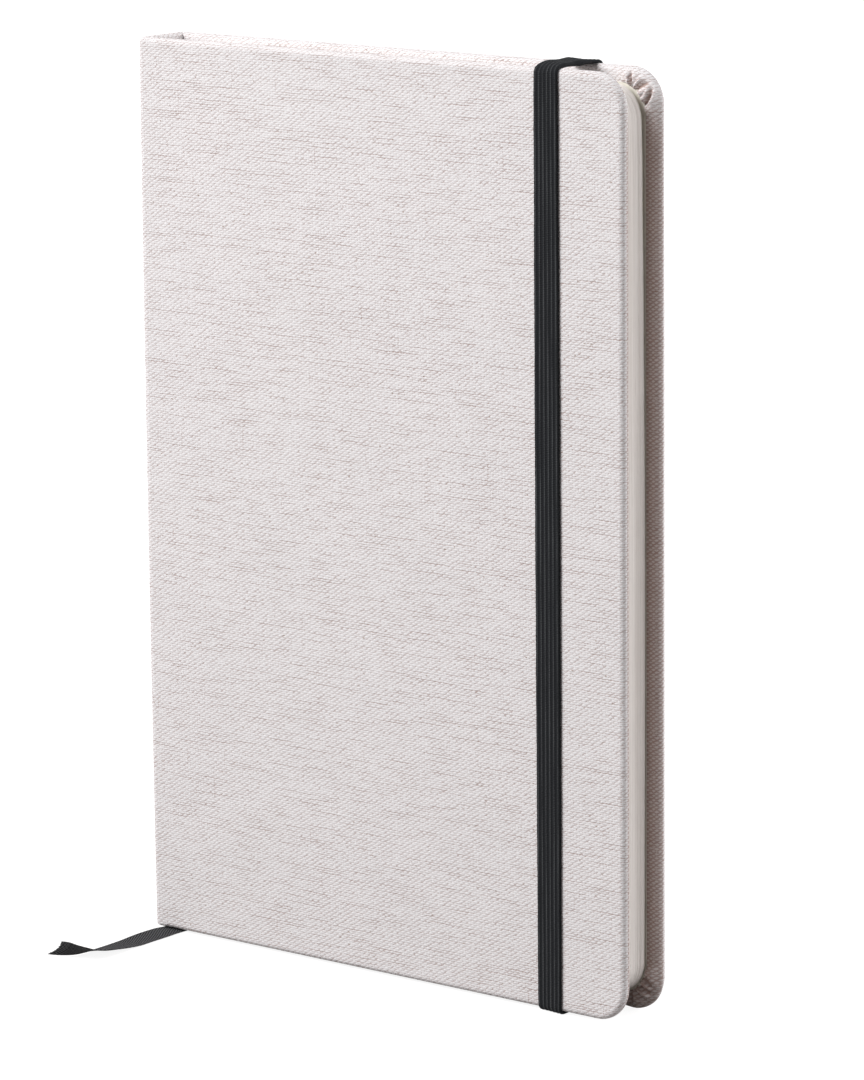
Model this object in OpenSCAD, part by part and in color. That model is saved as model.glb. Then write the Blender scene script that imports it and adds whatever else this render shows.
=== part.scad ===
// A cloth-covered hardback notebook, standing upright on its tail edge.
// X runs from the spine to the fore edge, the front cover faces -Y, and +Z is up.
// The origin is under the middle of the closed book, on the surface that it stands on.

/* [Covers] */
// Width of the closed book, from the spine's face to the fore edge of the covers
cover_w = 138; // [120:1:160]
// Height of the covers
cover_h = 210; // [180:1:240]
// Thickness of the closed book over both covers, without the elastic
book_t = 15.8; // [13:0.2:22]
// Radius of the covers' rounded fore-edge corners
corner_r = 8; // [6:0.5:12]
// Radius over the long edges of the spine
spine_edge_r = 1.4; // [1.3:0.1:2.4]

/* [Boards and cloth] */
// Thickness of the two cover boards
board_t = 1.8; // [1.5:0.1:2.6]
// Thickness of the spine board
spine_board_t = 1.5; // [1:0.1:2]
// Thickness of the cloth
cloth_t = 0.4; // [0.3:0.05:0.5]
// How far the cloth is turned in over the inside of the boards
turn_in = 12; // [10:0.5:16]
// Rounding of the boards' own edges, under the cloth
board_edge_r = 0.8; // [0.4:0.1:0.8]
// Distance from the spine's face to the line where a cover bends
hinge_from_spine = 3; // [2.8:0.1:4]
// Gap in the cloth joint between the bending line and the board
joint_gap = 1.5; // [1:0.1:3]
// Gap between the ends of the spine board and the cloth of the two covers
spine_board_inset = 0.6; // [0.3:0.1:1.2]

/* [Gathered corners] */
// Number of pleats in the turned-in cloth at each rounded corner
pleat_count = 4; // [2:1:5]
// Height of a pleat over the turned-in cloth
pleat_h = 0.5; // [0.3:0.1:0.6]
// Radius of a pleat's round back
pleat_r = 0.6; // [0.6:0.05:0.8]
// Angle over which the pleats of a corner fan out
pleat_fan = 66; // [40:2:70]
// Free distance between the pleats and the corner of the pages
pleat_clear = 0.4; // [0.2:0.1:1]

/* [Pages and endpapers] */
// How far the pages lie inside the covers at the head and the tail
square_head = 3.5; // [2:0.1:5]
// How far the pages lie inside the covers at the fore edge
square_fore = 3.6; // [2:0.1:5]
// Radius of the pages' rounded fore-edge corners
page_corner_r = 6; // [4:0.5:8]
// Thickness of the endpapers
endpaper_t = 0.15; // [0.1:0.05:0.2]
// Thickness of the lining on the back of the page block
lining_t = 0.3; // [0.2:0.1:0.5]
// How far the lining stops short of the pages' head and tail
lining_short = 6; // [2:1:12]
// Free space in the spine behind the ribbon
spine_clear = 0.15; // [0.05:0.05:0.6]

/* [Elastic] */
// Width of the elastic
band_w = 6.6; // [4:0.2:8]
// Thickness of the elastic
band_t = 0.7; // [0.5:0.1:1]
// Distance from the fore edge to the middle of the elastic
band_from_fore = 20.3; // [16:0.1:32]
// Number of ribs along the elastic
rib_count = 6; // [4:1:8]
// Depth of the grooves between the ribs
rib_depth = 0.15; // [0.05:0.05:0.2]
// Distance from the head or the tail to the slit in the back cover
slit_from_end = 14; // [13:0.5:24]
// Free space round the elastic in its slits
slit_clear = 0.05; // [0.02:0.01:0.1]
// Length of the elastic's glued ends
tab_len = 18; // [10:1:30]

/* [Ribbon] */
// Width of the ribbon marker
ribbon_w = 6.6; // [4:0.2:8]
// Thickness of the ribbon marker
ribbon_t = 0.3; // [0.2:0.05:0.4]
// Distance from the spine's face to the middle of the ribbon between the pages
ribbon_from_spine = 7.2; // [7:0.1:12]
// Free space round the ribbon between the pages
ribbon_clear = 0.1; // [0.05:0.05:0.3]
// Length of the ribbon's end that is glued to the lining
ribbon_glued = 20; // [10:1:40]

/* [Hidden] */

$fn = 48;
eps = 0.01;
past = 5;
// Steps in the rounding over an edge
round_steps = 4;
// Steps of the ribbon between the pages
page_steps = 5;
// Height of the ribbon over the surface that it lies on
ribbon_lift = 0.05;

// Planes across the width
spine_x = -cover_w / 2;
fore_x = cover_w / 2;
hinge_x = spine_x + hinge_from_spine;
board_x = hinge_x + joint_gap;
spine_in_x = spine_x + 2 * cloth_t + spine_board_t;
lining_x = spine_in_x + spine_clear + ribbon_t;
pages_x = lining_x + lining_t;
page_fore_x = fore_x - square_fore;
band_x = fore_x - band_from_fore;
ribbon_x = spine_x + ribbon_from_spine;
ribbon_seat_x = lining_x - ribbon_t / 2;

// Planes up the height: the book stands on the elastic that passes under it
foot_z = band_t;
head_z = foot_z + cover_h;
page_foot_z = foot_z + square_head;
page_head_z = head_z - square_head;

// Planes through the thickness, for the back half; the front half mirrors them
face_y = book_t / 2;
board_out_y = face_y - cloth_t;
board_in_y = board_out_y - board_t;
cover_in_y = board_in_y - cloth_t;
paste_in_y = cover_in_y - endpaper_t;
pages_y = paste_in_y - endpaper_t;

// The cloth follows the boards' rounded edges, and the elastic follows the cloth
edge_r = board_edge_r + cloth_t;
band_bend_r = edge_r;
tab_y = board_in_y + band_t;

cloth_colour = [0.86, 0.83, 0.81];
board_colour = [0.55, 0.52, 0.48];
paper_colour = [0.93, 0.91, 0.85];
pages_colour = [0.91, 0.88, 0.81];
lining_colour = [0.95, 0.94, 0.9];
black_colour = [0.08, 0.08, 0.09];

// The ribbon over the head of the pages: how far across from the spine to its place between the
// pages, how far up from the pages to the covers' head, and the way that its width points
ribbon_over = [
    [0, 0, [0, 1, 0]],
    [0.04, 0.1, [0, 1, 0]],
    [0.25, 0.16, [0.1, 1, 0]],
    [0.5, 0.18, [0.5, 0.87, 0]],
    [0.8, 0.18, [0.84, 0.5, 0]],
    [0.95, 0.12, [0.97, 0.15, 0]],
];

// The ribbon from the foot of the pages down to the surface: how far along X and Y, what part of
// the pages' height over the surface, and the way that its width points
ribbon_down = [
    [-0.1, -0.4, 0.6, [1, -0.05, 0]],
    [-0.6, -1.6, 0.3, [1, -0.15, 0]],
    [-1.5, -3.6, 0.12, [1, -0.1, 0]],
];

// The ribbon's free end along the surface: X and Y from its place between the pages, and the way
// that its width points as it turns up on one edge
ribbon_tail = [
    [-2.3, -6, [1, 0.05, 0]],
    [-2.4, -9.5, [0.98, 0.16, -0.05]],
    [-2.3, -13.5, [0.98, 0.17, -0.07]],
    [-2.4, -17.5, [1, 0.06, -0.05]],
    [-2.4, -21.5, [1, -0.02, -0.02]],
    [-2.5, -25.5, [0.99, -0.09, 0.05]],
    [-2.4, -29.5, [0.98, -0.16, 0.14]],
    [-2.5, -33, [0.96, -0.19, 0.22]],
    [-2.9, -36, [0.91, -0.24, 0.33]],
    [-3.3, -37.4, [0.86, -0.29, 0.43]],
    [-4, -38.6, [0.79, -0.34, 0.52]],
    [-4.9, -39.5, [0.75, -0.32, 0.59]],
    [-6.2, -40.2, [0.73, -0.24, 0.64]],
    [-7.6, -40.5, [0.76, -0.12, 0.63]],
    [-9.1, -40.8, [0.78, -0.08, 0.62]],
];

// A flat outline in the X and Z of the book, rounded at the two fore-edge corners
module leaf_outline(x0, x1, z0, z1, r) {
    translate([x0, z0]) square([x1 - x0 - r, z1 - z0]);
    translate([x1 - r - eps, z0 + r]) square([r + eps, z1 - z0 - 2 * r]);
    translate([x1 - r, z0 + r]) circle(r);
    translate([x1 - r, z1 - r]) circle(r);
}

// A flat plate of that outline, from depth y0 to y1
module leaf(x0, x1, z0, z1, r, y0, y1) {
    translate([0, y1, 0]) rotate([90, 0, 0]) linear_extrude(y1 - y0) leaf_outline(x0, x1, z0, z1, r);
}

// The cover's outline drawn in by an inset
module cover_outline(x0, inset) {
    leaf_outline(x0, fore_x - inset, foot_z + inset, head_z - inset, corner_r - inset);
}

// A plate of the cover's outline whose outer edges are rounded over
module soft_plate(x0, inset, y0, y1, r) {
    hull() {
        for (i = [0:round_steps]) {
            a = 90 * i / round_steps;
            in = inset + r * (1 - sin(a));
            out = r * (1 - cos(a));
            translate([0, y1 - out, 0]) rotate([90, 0, 0])
                linear_extrude(y1 - y0 - 2 * out) cover_outline(x0, in);
        }
    }
}

// The board of a cover, drawn for the back
module cover_board() {
    soft_plate(board_x, cloth_t, board_in_y, board_out_y, board_edge_r);
}

// The same shape at the head, for k = 0, or at the foot, for k = 1
module from_middle(k) {
    translate([0, 0, foot_z + cover_h / 2]) mirror([0, 0, k])
        translate([0, 0, -foot_z - cover_h / 2]) children();
}

// How far the pages' round corner reaches from the middle of the cover's corner, at angle a
function page_reach(a) =
    let (cx = corner_r - square_fore - page_corner_r, cz = corner_r - square_head - page_corner_r,
         along = cx * cos(a) + cz * sin(a))
        along + sqrt(pow(along, 2) - pow(cx, 2) - pow(cz, 2) + pow(page_corner_r, 2));

// The gathered folds of the turned-in cloth round one corner, outside the pages' corner
module pleats() {
    r1 = corner_r - edge_r - pleat_r / 2;
    for (i = [0:pleat_count - 1]) {
        a = 45 + pleat_fan * (i / (pleat_count - 1) - 0.5);
        r0 = page_reach(a) + pleat_clear + pleat_r;
        translate([0, cover_in_y + pleat_r - pleat_h, 0]) rotate([0, -a, 0]) {
            translate([r0, 0, 0]) rotate([0, 90, 0]) cylinder(r = pleat_r, h = r1 - r0);
            translate([r0, 0, 0]) sphere(pleat_r);
            translate([r1, 0, 0]) sphere(pleat_r);
        }
    }
}

// The cloth of a cover, drawn for the back: one sheet over the board, turned in on three sides
module cover_cloth() {
    difference() {
        union() {
            soft_plate(hinge_x, 0, cover_in_y, face_y, edge_r);
            intersection() {
                for (k = [0, 1])
                    from_middle(k) translate([fore_x - corner_r, 0, head_z - corner_r]) pleats();
                translate([0, cover_in_y - past, 0]) cube([cover_w, past + cloth_t / 2, 2 * cover_h]);
            }
        }
        cover_board();
        // the open middle, where the board has no cloth over it
        translate([hinge_x - past, cover_in_y - past, foot_z + turn_in])
            cube([fore_x - turn_in - hinge_x + past, board_out_y - cover_in_y + past,
                  cover_h - 2 * turn_in]);
        // the joint beside the board, where the turned-in cloth lies on the outer cloth
        translate([hinge_x - past, cover_in_y - past, foot_z - past])
            cube([board_x - cloth_t - hinge_x + past, board_out_y - cloth_t - cover_in_y + past,
                  cover_h + 2 * past]);
    }
}

// The slits through the back cover, and the beds for the elastic's glued ends
module slit_cuts() {
    wide = band_w + 2 * slit_clear;
    for (k = [0, 1])
        from_middle(k) translate([band_x - wide / 2, board_in_y - eps, head_z - slit_from_end]) {
            translate([0, 0, -band_t / 2 - slit_clear]) cube([wide, past, band_t + 2 * slit_clear]);
            translate([0, 0, -tab_len - slit_clear])
                cube([wide, band_t + eps, tab_len + 2 * slit_clear]);
        }
}

// The pasted half of an endpaper, drawn for the back and trimmed with the pages: it dips from the
// turned-in cloth to the board
module pastedown() {
    x1 = fore_x - turn_in;
    z0 = foot_z + turn_in;
    z1 = head_z - turn_in;
    difference() {
        union() {
            leaf(board_x, page_fore_x, page_foot_z, page_head_z, page_corner_r, paste_in_y, cover_in_y);
            translate([board_x, paste_in_y, z0]) cube([x1 - board_x, board_in_y - paste_in_y, z1 - z0]);
        }
        translate([board_x - past, paste_in_y - past, z0 + endpaper_t])
            cube([x1 - board_x - endpaper_t + past, board_in_y - endpaper_t - paste_in_y + past,
                  z1 - z0 - 2 * endpaper_t]);
    }
}

// The free half of an endpaper, drawn for the back
module flyleaf() {
    leaf(pages_x, page_fore_x, page_foot_z, page_head_z, page_corner_r, pages_y, paste_in_y);
}

module front_board() {
    color(board_colour) mirror([0, 1, 0]) cover_board();
}

module back_board() {
    color(board_colour) difference() {
        cover_board();
        slit_cuts();
    }
}

module spine_board() {
    half = face_y - cloth_t - spine_board_inset;
    color(board_colour) translate([spine_x + cloth_t, -half, foot_z + cloth_t])
        cube([spine_board_t, 2 * half, cover_h - 2 * cloth_t]);
}

module front_cloth() {
    color(cloth_colour) mirror([0, 1, 0]) cover_cloth();
}

module back_cloth() {
    color(cloth_colour) difference() {
        cover_cloth();
        slit_cuts();
    }
}

// The section of the spine with its long outer edges rounded, drawn in by an inset
module spine_section(inset) {
    x0 = spine_x + inset;
    half = face_y - inset;
    r = spine_edge_r - inset;
    translate([x0 + r, -half]) square([hinge_x - x0 - r, 2 * half]);
    translate([x0, r - half]) square([r + eps, 2 * (half - r)]);
    translate([x0 + r, r - half]) circle(r);
    translate([x0 + r, half - r]) circle(r);
}

// The cloth of the spine: the same sheet, turned in over the spine board at the head and the tail
module spine_cloth() {
    half = face_y - 2 * cloth_t;
    color(cloth_colour) difference() {
        hull() {
            for (i = [0:round_steps]) {
                a = 90 * i / round_steps;
                in = edge_r * (1 - sin(a));
                up = edge_r * (1 - cos(a));
                translate([0, 0, foot_z + up]) linear_extrude(cover_h - 2 * up) spine_section(in);
            }
        }
        // inside the single sheet, between the turned-in ends
        translate([spine_x + cloth_t, cloth_t - face_y, foot_z + turn_in])
            cube([hinge_from_spine + past, book_t - 2 * cloth_t, cover_h - 2 * turn_in]);
        // inside the doubled sheet at the ends
        translate([spine_in_x, -half, foot_z - past])
            cube([hinge_from_spine + past, 2 * half, cover_h + 2 * past]);
        spine_board();
    }
}

module front_pastedown() {
    color(paper_colour) mirror([0, 1, 0]) pastedown();
}

module back_pastedown() {
    color(paper_colour) pastedown();
}

module front_flyleaf() {
    color(paper_colour) mirror([0, 1, 0]) flyleaf();
}

module back_flyleaf() {
    color(paper_colour) flyleaf();
}

// The sewn leaves as one block, with the thin gap between two of them that holds the ribbon
module page_block() {
    color(pages_colour) difference() {
        leaf(pages_x, page_fore_x, page_foot_z, page_head_z, page_corner_r, -pages_y, pages_y);
        translate([ribbon_x - ribbon_w / 2 - ribbon_clear, -ribbon_t / 2 - ribbon_clear, page_foot_z - past])
            cube([ribbon_w + 2 * ribbon_clear, ribbon_t + 2 * ribbon_clear, cover_h + 2 * past]);
    }
}

module spine_lining() {
    color(lining_colour) translate([lining_x, -pages_y, page_foot_z + lining_short])
        cube([lining_t, 2 * pages_y, page_head_z - page_foot_z - 2 * lining_short]);
}

// The elastic's section: X is its thickness, flat at 0 and ribbed on the other side, and Y its width
module band_section() {
    pitch = band_w / rib_count;
    low = band_t - rib_depth;
    ribs = [
        for (i = [0:rib_count - 1], p = [[low, 0], [band_t, 0.25], [band_t, 0.75]])
            [p[0], -band_w / 2 + (i + p[1]) * pitch]
    ];
    polygon(concat([[0, -band_w / 2]], ribs, [[low, band_w / 2], [0, band_w / 2]]));
}

// A straight run of the elastic up the front, from height z0 to z1
module band_run(z0, z1, off) {
    translate([band_x, -off, z0]) rotate([0, 0, -90]) linear_extrude(z1 - z0) band_section();
}

// A quarter turn of the elastic over the upper edge of the front
module band_bend(off, z) {
    translate([band_x, band_bend_r - off, z - band_bend_r]) rotate([90, 0, -90])
        rotate_extrude(angle = 90) translate([band_bend_r, 0]) band_section();
}

// The elastic's short run down the back face to its slit, through it and under the pasted endpaper
module band_end() {
    slit_z = head_z - slit_from_end;
    mirror([0, 1, 0]) band_run(slit_z - band_t / 2, head_z - band_bend_r, face_y);
    mirror([0, 1, 0]) band_bend(face_y, head_z);
    translate([band_x - band_w / 2, board_in_y, slit_z - band_t / 2])
        cube([band_w, face_y - board_in_y + eps, band_t]);
    translate([band_x - band_w / 2, board_in_y, slit_z - tab_len])
        cube([band_w, tab_y - board_in_y, tab_len]);
}

module elastic_band() {
    color(black_colour) {
        band_run(foot_z + band_bend_r, head_z - band_bend_r, face_y);
        for (k = [0, 1])
            from_middle(k) {
                band_bend(face_y, head_z);
                translate([0, 0, head_z]) rotate([-90, 0, 0])
                    band_run(band_bend_r - face_y, face_y - band_bend_r, 0);
                band_end();
            }
    }
}

function unit(v) = v / norm(v);

// Height of the ribbon's middle when it lies on its lower edge, its width pointing along w
function lie_z(w) = ribbon_lift + ribbon_t / 2 + abs(unit(w).z) * ribbon_w / 2;

// The ribbon's route: the middle of its width, and the way that its width points
ribbon_route = concat(
    [for (d = [ribbon_glued, ribbon_glued / 2, 0])
        [[ribbon_seat_x, 0, page_head_z - lining_short - d], [0, 1, 0]]],
    [for (p = ribbon_over)
        [[ribbon_seat_x + p[0] * (ribbon_x - ribbon_seat_x), 0, page_head_z + p[1] * square_head], p[2]]],
    [for (k = [0:page_steps])
        [[ribbon_x, 0, page_head_z + (page_foot_z - page_head_z) * k / page_steps], [1, 0, 0]]],
    [for (p = ribbon_down) [[ribbon_x + p[0], p[1], page_foot_z * p[2]], p[3]]],
    [for (p = ribbon_tail) [[ribbon_x + p[0], p[1], lie_z(p[2])], p[2]]]
);

// Points round the ribbon's section: two flat sides and two edges, eight points in all
function ribbon_ring(place, across, out) = [
    for (p = [[-1, -1], [0, -1], [1, -1], [1, 0], [1, 1], [0, 1], [-1, 1], [-1, 0]])
        place + across * p[0] * ribbon_w / 2 + out * p[1] * ribbon_t / 2
];

// The way that the route runs at point i
function heading(route, i) =
    unit(route[min(i + 1, len(route) - 1)][0] - route[max(i - 1, 0)][0]);

module ribbon_marker() {
    n = len(ribbon_route);
    rings = [
        for (i = [0:n - 1])
            let (w = unit(ribbon_route[i][1]), out = unit(cross(heading(ribbon_route, i), w)))
                ribbon_ring(ribbon_route[i][0], w, out)
    ];
    sides = [
        for (i = [0:n - 2], k = [0:7])
            let (a = 8 * i + k, b = 8 * i + (k + 1) % 8)
                each [[a, b, b + 8], [a, b + 8, a + 8]]
    ];
    ends = [[for (k = [7:-1:0]) k], [for (k = [0:7]) 8 * (n - 1) + k]];
    color(black_colour) polyhedron([for (r = rings) each r], concat(sides, ends));
}

front_board();
back_board();
spine_board();
front_cloth();
back_cloth();
spine_cloth();
front_pastedown();
back_pastedown();
front_flyleaf();
back_flyleaf();
page_block();
spine_lining();
elastic_band();
ribbon_marker();
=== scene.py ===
# %% [markdown]
# # A hardback notebook in natural canvas
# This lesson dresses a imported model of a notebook. The model comes from CAD: it gives every
# solid its place and its size, and says which parts move together. Blender adds what a hand
# and an eye would notice, such as the weave of the canvas, the gathered corners, the ribs of
# the elastic and the twist of the ribbon. Every surface here is worked out with numpy as a
# whole grid of points, so that a shape can be read as a formula and changed with one number.

import bpy
import numpy as np
from mathutils import Matrix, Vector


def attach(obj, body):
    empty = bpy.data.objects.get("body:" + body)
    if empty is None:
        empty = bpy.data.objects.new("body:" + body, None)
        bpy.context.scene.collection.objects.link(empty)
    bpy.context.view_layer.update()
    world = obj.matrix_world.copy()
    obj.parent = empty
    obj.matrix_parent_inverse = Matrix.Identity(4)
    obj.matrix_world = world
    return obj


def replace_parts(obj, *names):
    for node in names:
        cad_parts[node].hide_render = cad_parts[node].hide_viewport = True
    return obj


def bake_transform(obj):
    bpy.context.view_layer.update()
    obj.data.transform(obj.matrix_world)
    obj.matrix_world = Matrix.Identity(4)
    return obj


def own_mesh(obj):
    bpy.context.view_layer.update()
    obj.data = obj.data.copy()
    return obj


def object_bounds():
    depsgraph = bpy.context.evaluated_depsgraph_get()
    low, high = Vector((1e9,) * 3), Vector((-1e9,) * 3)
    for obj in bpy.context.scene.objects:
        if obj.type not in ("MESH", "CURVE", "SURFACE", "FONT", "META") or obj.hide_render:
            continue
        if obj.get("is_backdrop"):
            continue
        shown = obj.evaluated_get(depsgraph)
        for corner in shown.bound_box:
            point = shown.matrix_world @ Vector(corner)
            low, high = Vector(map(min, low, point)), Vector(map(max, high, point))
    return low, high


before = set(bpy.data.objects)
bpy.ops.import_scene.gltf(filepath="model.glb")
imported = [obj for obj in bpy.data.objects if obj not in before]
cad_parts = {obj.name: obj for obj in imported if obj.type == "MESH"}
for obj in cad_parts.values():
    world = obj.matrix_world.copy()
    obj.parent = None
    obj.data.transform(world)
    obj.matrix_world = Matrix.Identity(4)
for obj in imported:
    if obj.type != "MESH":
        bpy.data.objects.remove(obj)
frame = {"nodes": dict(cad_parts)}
cad_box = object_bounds()
nodes = frame["nodes"]
MM = 0.001
print("CAD nodes:", ", ".join(sorted(nodes)))

# %% [markdown]
# The sizes below repeat the CAD model's, in millimetres, apart from the pages' corners, which
# are a little rounder here. X runs from the spine to the fore edge, the front cover faces -Y
# and the book stands upright on the surface at Z = 0. It rests on the elastic that passes
# under it, so the covers start a little above that surface.

# %% Sizes of the book
SPINE_X, FORE_X = -69.0, 69.0
FOOT_Z, HEAD_Z = 0.7, 210.7
MIDDLE_Z = 100.0
FACE_Y = 7.9
CORNER_R = 8.0
COVER_T = 2.6
CLOTH_T = 0.4
TURN_IN = 12.0
EDGE_R = 1.2
BOARD_X, LINING_X = -64.5, -66.25
SPINE_R, SPINE_T = 1.4, 2.3
PAGES_X, PAGES_FORE_X = -65.95, 65.4
PAGES_FOOT, PAGES_HEAD = 4.2, 207.2
PAGES_Y, PAGES_R = 5.0, 7.5
RIBBON_X, RIBBON_W, RIBBON_T = -61.8, 6.6, 0.3
BAND_X, BAND_W, BAND_T = 48.7, 6.6, 0.7
SLIT_FROM_END = 14.0
chance = np.random.default_rng(56)
print("covers:", FORE_X - SPINE_X, "x", HEAD_Z - FOOT_Z, "x", 2 * FACE_Y, "mm")

# %% [markdown]
# The camera stands where the photographer's stood: to the right of the front cover, a little
# above it and more than a metre away. A long lens from far off keeps the book's upright edges
# almost parallel. Its three axes were found from the straight edges of the book in the
# picture, and they go into the camera's matrix as they are.

# %% Camera
CAMERA_AT = (0.7338, -0.9035, 0.3344)
CAMERA_RIGHT = (0.78139, 0.62398, -0.00906)
CAMERA_UP = (-0.11613, 0.15965, 0.98032)
CAMERA_BACK = (0.61315, -0.76496, 0.19721)

camera = bpy.data.objects.new("camera", bpy.data.cameras.new("camera"))
bpy.context.scene.collection.objects.link(camera)
turn = Matrix((CAMERA_RIGHT, CAMERA_UP, CAMERA_BACK)).transposed()
camera.matrix_world = Matrix.Translation(CAMERA_AT) @ turn.to_4x4()
camera.data.sensor_width = 36.0
camera.data.lens = 175.4
camera.data.clip_start, camera.data.clip_end = 0.05, 50.0
bpy.context.scene.camera = camera
print("camera", CAMERA_AT, "lens", camera.data.lens, "mm")

# %% [markdown]
# ## One way to make every mesh
# Each piece below is one or more grids of points. A grid is easy to think about, because its
# rows and columns are the two parameters of a formula. Where grids meet, or where a row
# shrinks to one point, points fall on the same place. They are welded there, and a face that
# loses a corner becomes a triangle or goes. Each grid also carries flat coordinates in
# millimetres, kept as the piece's UV map, so a weave keeps its real size and stays on the
# cloth when the cloth bends.

# %% Make a mesh from grids
WELD = 0.002


def quads_of(rows, columns, first=0):
    """Corner numbers of every square of a grid, from the square's own row and column."""
    at = first + np.arange(rows * columns).reshape(rows, columns)
    return np.stack([at[:-1, :-1], at[1:, :-1], at[1:, 1:], at[:-1, 1:]], -1).reshape(-1, 4)


def weld(points, quads):
    """Points that round to the same step of WELD become one. A square keeps a corner only if
    the next corner is another point, and is dropped if fewer than three corners are left."""
    step = np.round(points / WELD).astype(np.int64)
    _, first, same = np.unique(step, axis=0, return_index=True, return_inverse=True)
    faces = same.reshape(-1)[quads]
    keep = faces != np.roll(faces, -1, axis=1)
    crossed = (faces[:, 0] == faces[:, 2]) | (faces[:, 1] == faces[:, 3])
    whole = (keep.sum(1) >= 3) & ~crossed
    return points[first], faces[whole], keep[whole], whole


def mesh_piece(name, grids, flip=False, smooth=True):
    """One object from a list of (points, flat coordinates, squares to leave out or None).
    Points are in millimetres and become metres here. A third flat coordinate, where there is
    one, is how much shade is painted on the surface, from 0 to 1, and goes into a UV map of its
    own."""
    points, flats, quads, first = [], [], [], 0
    for grid, flat, left_out in grids:
        squares = quads_of(*grid.shape[:2], first)
        if left_out is not None:
            squares = squares[~left_out.reshape(-1)]
        points.append(grid.reshape(-1, 3))
        flats.append(flat.reshape(-1, flat.shape[-1]))
        quads.append(squares)
        first += grid.shape[0] * grid.shape[1]
    points, flats, quads = np.concatenate(points), np.concatenate(flats), np.concatenate(quads)
    if flip:
        quads = quads[:, ::-1]
    co, faces, keep, whole = weld(points, quads)
    corners, sizes = faces[keep], keep.sum(1)
    mesh = bpy.data.meshes.new(name)
    mesh.vertices.add(len(co))
    mesh.vertices.foreach_set("co", (co * MM).astype(np.float32).ravel())
    mesh.loops.add(len(corners))
    mesh.loops.foreach_set("vertex_index", corners.astype(np.int32))
    mesh.polygons.add(len(sizes))
    mesh.polygons.foreach_set("loop_start", (np.cumsum(sizes) - sizes).astype(np.int32))
    mesh.polygons.foreach_set("loop_total", sizes.astype(np.int32))
    at_corners = flats[quads[whole]][keep].astype(np.float32)
    mesh.uv_layers.new(name="flat_mm").data.foreach_set("uv", at_corners[:, :2].ravel())
    if at_corners.shape[1] == 3:
        mesh.uv_layers.new(name="painted_shade").data.foreach_set("uv", at_corners[:, [2, 2]].ravel())
    mesh.update(calc_edges=True)
    mesh.validate()
    mesh.polygons.foreach_set("use_smooth", np.full(len(mesh.polygons), smooth))
    piece = bpy.data.objects.new(name, mesh)
    bpy.context.scene.collection.objects.link(piece)
    print(name, "-", len(mesh.vertices), "points,", len(mesh.polygons), "faces")
    return piece


def ramp(value, low, high):
    """0 at low, 1 at high and 3t^2 - 2t^3 of the share t between them. It stays level outside
    them, and falls with growing value where low is the larger number."""
    share = np.clip((value - low) / (high - low), 0, 1)
    return share * share * (3 - 2 * share)


def spread(*parts):
    """Coordinates from arrays and numbers, each spread to the shape they share."""
    return np.stack(np.broadcast_arrays(*parts), -1)


def thicken(piece, thickness):
    """Gives a sheet its wall, inwards from the face that shows."""
    wall = piece.modifiers.new("wall", "SOLIDIFY")
    wall.thickness = thickness * MM
    wall.offset = -1
    crisp = piece.modifiers.new("crisp_edges", "EDGE_SPLIT")
    crisp.split_angle = np.radians(50)
    return piece


# %% [markdown]
# ## The ribbon marker
# The ribbon is glued to the lining of the spine, passes over the head of the pages, runs down
# between them and comes out at the foot. There it bends forward under the front cover, lies
# flat on the surface, and turns up on one edge towards its cut end. The points repeat the CAD
# model's route: a place for the middle of the ribbon and the way its width points there. A
# smooth curve through them gives many rings, and a flat section is carried along.

# %% Route of the ribbon
LIFT = 0.05
ribbon_over = [(0, 0, (0, 1, 0)), (0.04, 0.1, (0, 1, 0)), (0.25, 0.16, (0.1, 1, 0)),
               (0.5, 0.18, (0.5, 0.87, 0)), (0.8, 0.18, (0.84, 0.5, 0)),
               (0.95, 0.12, (0.97, 0.15, 0))]
ribbon_down = [(0, 0, 1, (1, 0, 0)), (-0.1, -0.4, 0.6, (1, -0.05, 0)),
               (-0.6, -1.6, 0.3, (1, -0.15, 0)), (-1.5, -3.6, 0.12, (1, -0.1, 0))]
ribbon_tail = [(-2.3, -6, (1, 0.05, 0)), (-2.4, -9.5, (0.98, 0.16, -0.05)),
               (-2.3, -13.5, (0.98, 0.17, -0.07)), (-2.4, -17.5, (1, 0.06, -0.05)),
               (-2.4, -21.5, (1, -0.02, -0.02)), (-2.5, -25.5, (0.99, -0.09, 0.05)),
               (-2.4, -29.5, (0.98, -0.16, 0.14)), (-2.5, -33, (0.96, -0.19, 0.22)),
               (-2.9, -36, (0.91, -0.24, 0.33)), (-3.3, -37.4, (0.86, -0.29, 0.43)),
               (-4, -38.6, (0.79, -0.34, 0.52)), (-4.9, -39.5, (0.75, -0.32, 0.59)),
               (-6.2, -40.2, (0.73, -0.24, 0.64)), (-7.6, -40.5, (0.76, -0.12, 0.63)),
               (-9.1, -40.8, (0.78, -0.08, 0.62))]


def unit(v):
    """Each row divided by its own length."""
    v = np.asarray(v, float)
    return v / np.linalg.norm(v, axis=-1, keepdims=True)


def lie_z(width_way):
    """Height of the ribbon's middle when its lower edge lies on the surface: half the
    thickness, and half the width times the upward part of the way the width points."""
    return LIFT + RIBBON_T / 2 + abs(unit(width_way)[2]) * RIBBON_W / 2


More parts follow.
